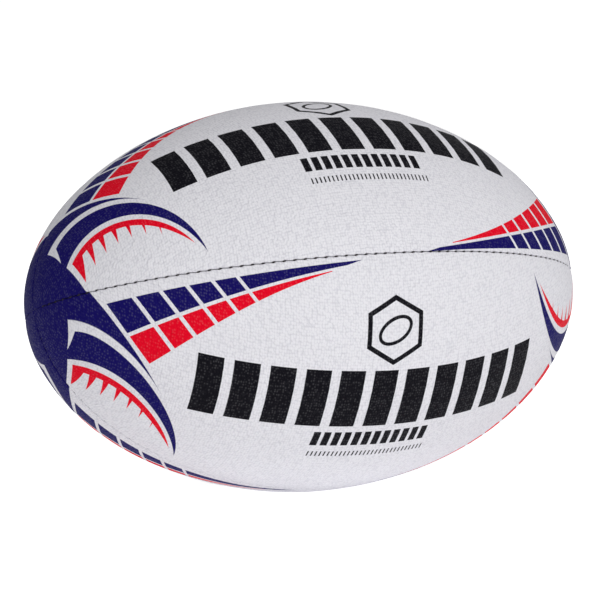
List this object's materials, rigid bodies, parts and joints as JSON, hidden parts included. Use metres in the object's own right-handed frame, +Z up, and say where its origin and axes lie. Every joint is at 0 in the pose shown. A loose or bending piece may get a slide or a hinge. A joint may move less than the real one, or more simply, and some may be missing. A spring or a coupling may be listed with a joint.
{
  "type": "rugby ball",
  "caption": "Oval rugby ball of sewn pimpled rubber panels over cloth linings and an air bladder with a needle valve, for passing and kicking.",
  "frame": {"origin": "centre of the ball", "axes": "+X along the ball from point to point, +Z up as it lies on its side, the front facing -Y"},
  "size_m": [0.2874, 0.1904, 0.1904],
  "materials": {
    "cover_rubber": "pimpled white rubber with printed navy, red and black artwork, satin",
    "lining_cloth": "plain woven polyester-cotton, matte",
    "sewing_thread": "twisted waxed thread, dark",
    "bladder_rubber": "smooth latex rubber, satin",
    "valve_rubber": "smooth moulded rubber, satin"
  },
  "bodies": {
    "root": {"cover_panel_front": "cover_rubber", "cover_panel_bottom": "cover_rubber", "cover_panel_back": "cover_rubber", "cover_panel_top": "cover_rubber", "outer_lining_ply_front": "lining_cloth", "outer_lining_ply_bottom": "lining_cloth", "outer_lining_ply_back": "lining_cloth", "outer_lining_ply_top": "lining_cloth", "middle_lining_ply_front": "lining_cloth", "middle_lining_ply_bottom": "lining_cloth", "middle_lining_ply_back": "lining_cloth", "middle_lining_ply_top": "lining_cloth", "inner_lining_ply_front": "lining_cloth", "inner_lining_ply_bottom": "lining_cloth", "inner_lining_ply_back": "lining_cloth", "inner_lining_ply_top": "lining_cloth", "seam_thread_top_front": "sewing_thread", "seam_thread_front_bottom": "sewing_thread", "seam_thread_bottom_back": "sewing_thread", "seam_thread_back_top": "sewing_thread", "bladder": "bladder_rubber", "valve_body": "valve_rubber", "valve_core": "valve_rubber", "valve_patch": "lining_cloth"}
  },
  "joints": []
}
